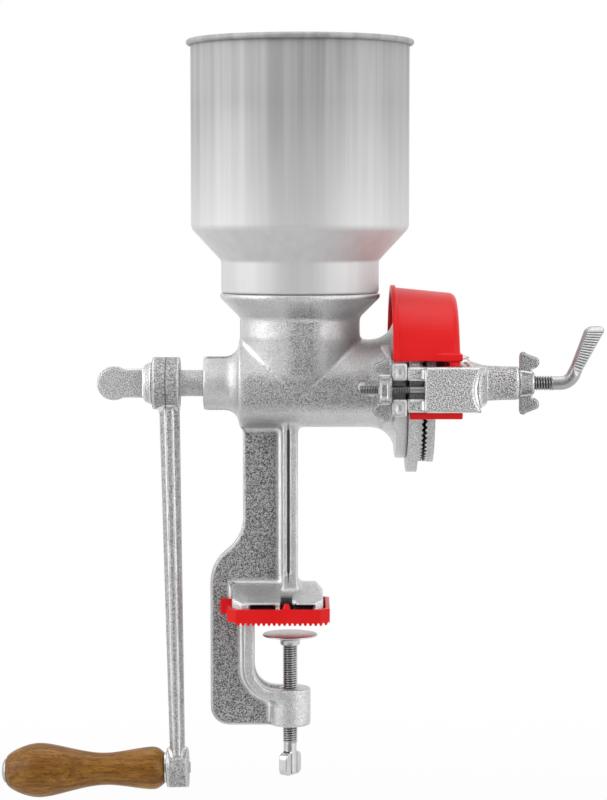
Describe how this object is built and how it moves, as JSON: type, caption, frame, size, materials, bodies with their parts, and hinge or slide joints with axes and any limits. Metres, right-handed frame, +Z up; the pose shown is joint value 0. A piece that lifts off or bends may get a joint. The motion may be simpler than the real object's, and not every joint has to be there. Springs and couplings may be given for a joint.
{
  "type": "hand grain mill",
  "caption": "Cast hand grain mill with a table clamp, sheet hopper, crank with wooden grip, toothed grinding discs and adjusting screw.",
  "frame": {"origin": "middle of the jaw pad's underside, on the clamp screw's axis", "axes": "+Z up, +X along the shaft from the crank toward the grinding discs, -Y toward the viewer"},
  "size_m": [0.3937, 0.147, 0.4939],
  "materials": {
    "tinned_casting": "hot tinned casting, light grey with a fine sand grain",
    "hopper_sheet": "spun sheet with a soft satin turn",
    "red_plastic": "moulded red plastic, semi-gloss",
    "plated_steel": "zinc plated steel",
    "disc_iron": "cast disc with ground teeth",
    "grip_wood": "turned and lacquered wood"
  },
  "bodies": {
    "frame": {"mill_body": "tinned_casting", "table_pad": "red_plastic", "stationary_disc": "disc_iron", "stationary_disc_pins": "plated_steel", "bridge": "tinned_casting", "bridge_bolts": "plated_steel", "disc_guard": "red_plastic"},
    "hopper": {"hopper": "hopper_sheet"},
    "thrust_ball": {"thrust_ball": "plated_steel"},
    "crankshaft": {"auger": "tinned_casting", "rotating_disc": "disc_iron", "disc_drive_pin": "plated_steel", "crank_arm": "tinned_casting", "handle_rivet": "plated_steel", "handle_washer": "plated_steel"},
    "handle_grip": {"handle_grip": "grip_wood"},
    "crank_thumbscrew": {"crank_thumbscrew": "tinned_casting"},
    "adjusting_screw": {"adjusting_screw": "plated_steel"},
    "adjusting_lock_nut": {"adjusting_lock_nut": "tinned_casting"},
    "front_wing_nut": {"front_wing_nut": "tinned_casting"},
    "rear_wing_nut": {"rear_wing_nut": "tinned_casting"},
    "clamp_disc": {"clamp_disc": "plated_steel"},
    "clamp_screw": {"clamp_screw": "plated_steel"}
  },
  "joints": [
    {"name": "hopper_lift", "type": "slide", "parent": "frame", "child": "hopper", "axis": [0, 0, 1], "range_m": [0, 0.015]},
    {"name": "grind_adjust", "type": "slide", "parent": "frame", "child": "thrust_ball", "axis": [1, 0, 0], "range_m": [-0.0008, 0.002]},
    {"name": "adjusting_screw_turn", "type": "hinge", "parent": "thrust_ball", "child": "adjusting_screw", "pos_m": [0.14, 0, 0.1543], "axis": [1, 0, 0], "range_deg": [-165, 412]},
    {"name": "crank_spin", "type": "hinge", "parent": "thrust_ball", "child": "crankshaft", "pos_m": [0, 0, 0.1543], "axis": [1, 0, 0], "continuous": true},
    {"name": "handle_grip_spin", "type": "hinge", "parent": "crankshaft", "child": "handle_grip", "pos_m": [-0.07374, 0, -0.0987], "axis": [-0.9998, 0, -0.0192], "continuous": true},
    {"name": "crank_thumbscrew_turn", "type": "hinge", "parent": "crankshaft", "child": "crank_thumbscrew", "pos_m": [-0.1, 0, 0.1543], "axis": [1, 0, 0], "continuous": true},
    {"name": "adjusting_lock_nut_turn", "type": "hinge", "parent": "frame", "child": "adjusting_lock_nut", "pos_m": [0.15, 0, 0.1543], "axis": [1, 0, 0], "continuous": true},
    {"name": "front_wing_nut_turn", "type": "hinge", "parent": "frame", "child": "front_wing_nut", "pos_m": [0.06, -0.0623, 0.1543], "axis": [1, 0, 0], "continuous": true},
    {"name": "rear_wing_nut_turn", "type": "hinge", "parent": "frame", "child": "rear_wing_nut", "pos_m": [0.06, 0.0623, 0.1543], "axis": [1, 0, 0], "continuous": true},
    {"name": "clamp_travel", "type": "slide", "parent": "frame", "child": "clamp_disc", "axis": [0, 0, 1], "range_m": [-0.027, 0.0095]},
    {"name": "clamp_screw_turn", "type": "hinge", "parent": "clamp_disc", "child": "clamp_screw", "pos_m": [0, 0, -0.05], "axis": [0, 0, 1], "range_deg": [-6481, 2281]}
  ],
  "couplings": [
    {"joint": "adjusting_screw_turn", "follows": "grind_adjust", "rad_per_m": 3590.4},
    {"joint": "clamp_screw_turn", "follows": "clamp_travel", "rad_per_m": 4188.8}
  ]
}
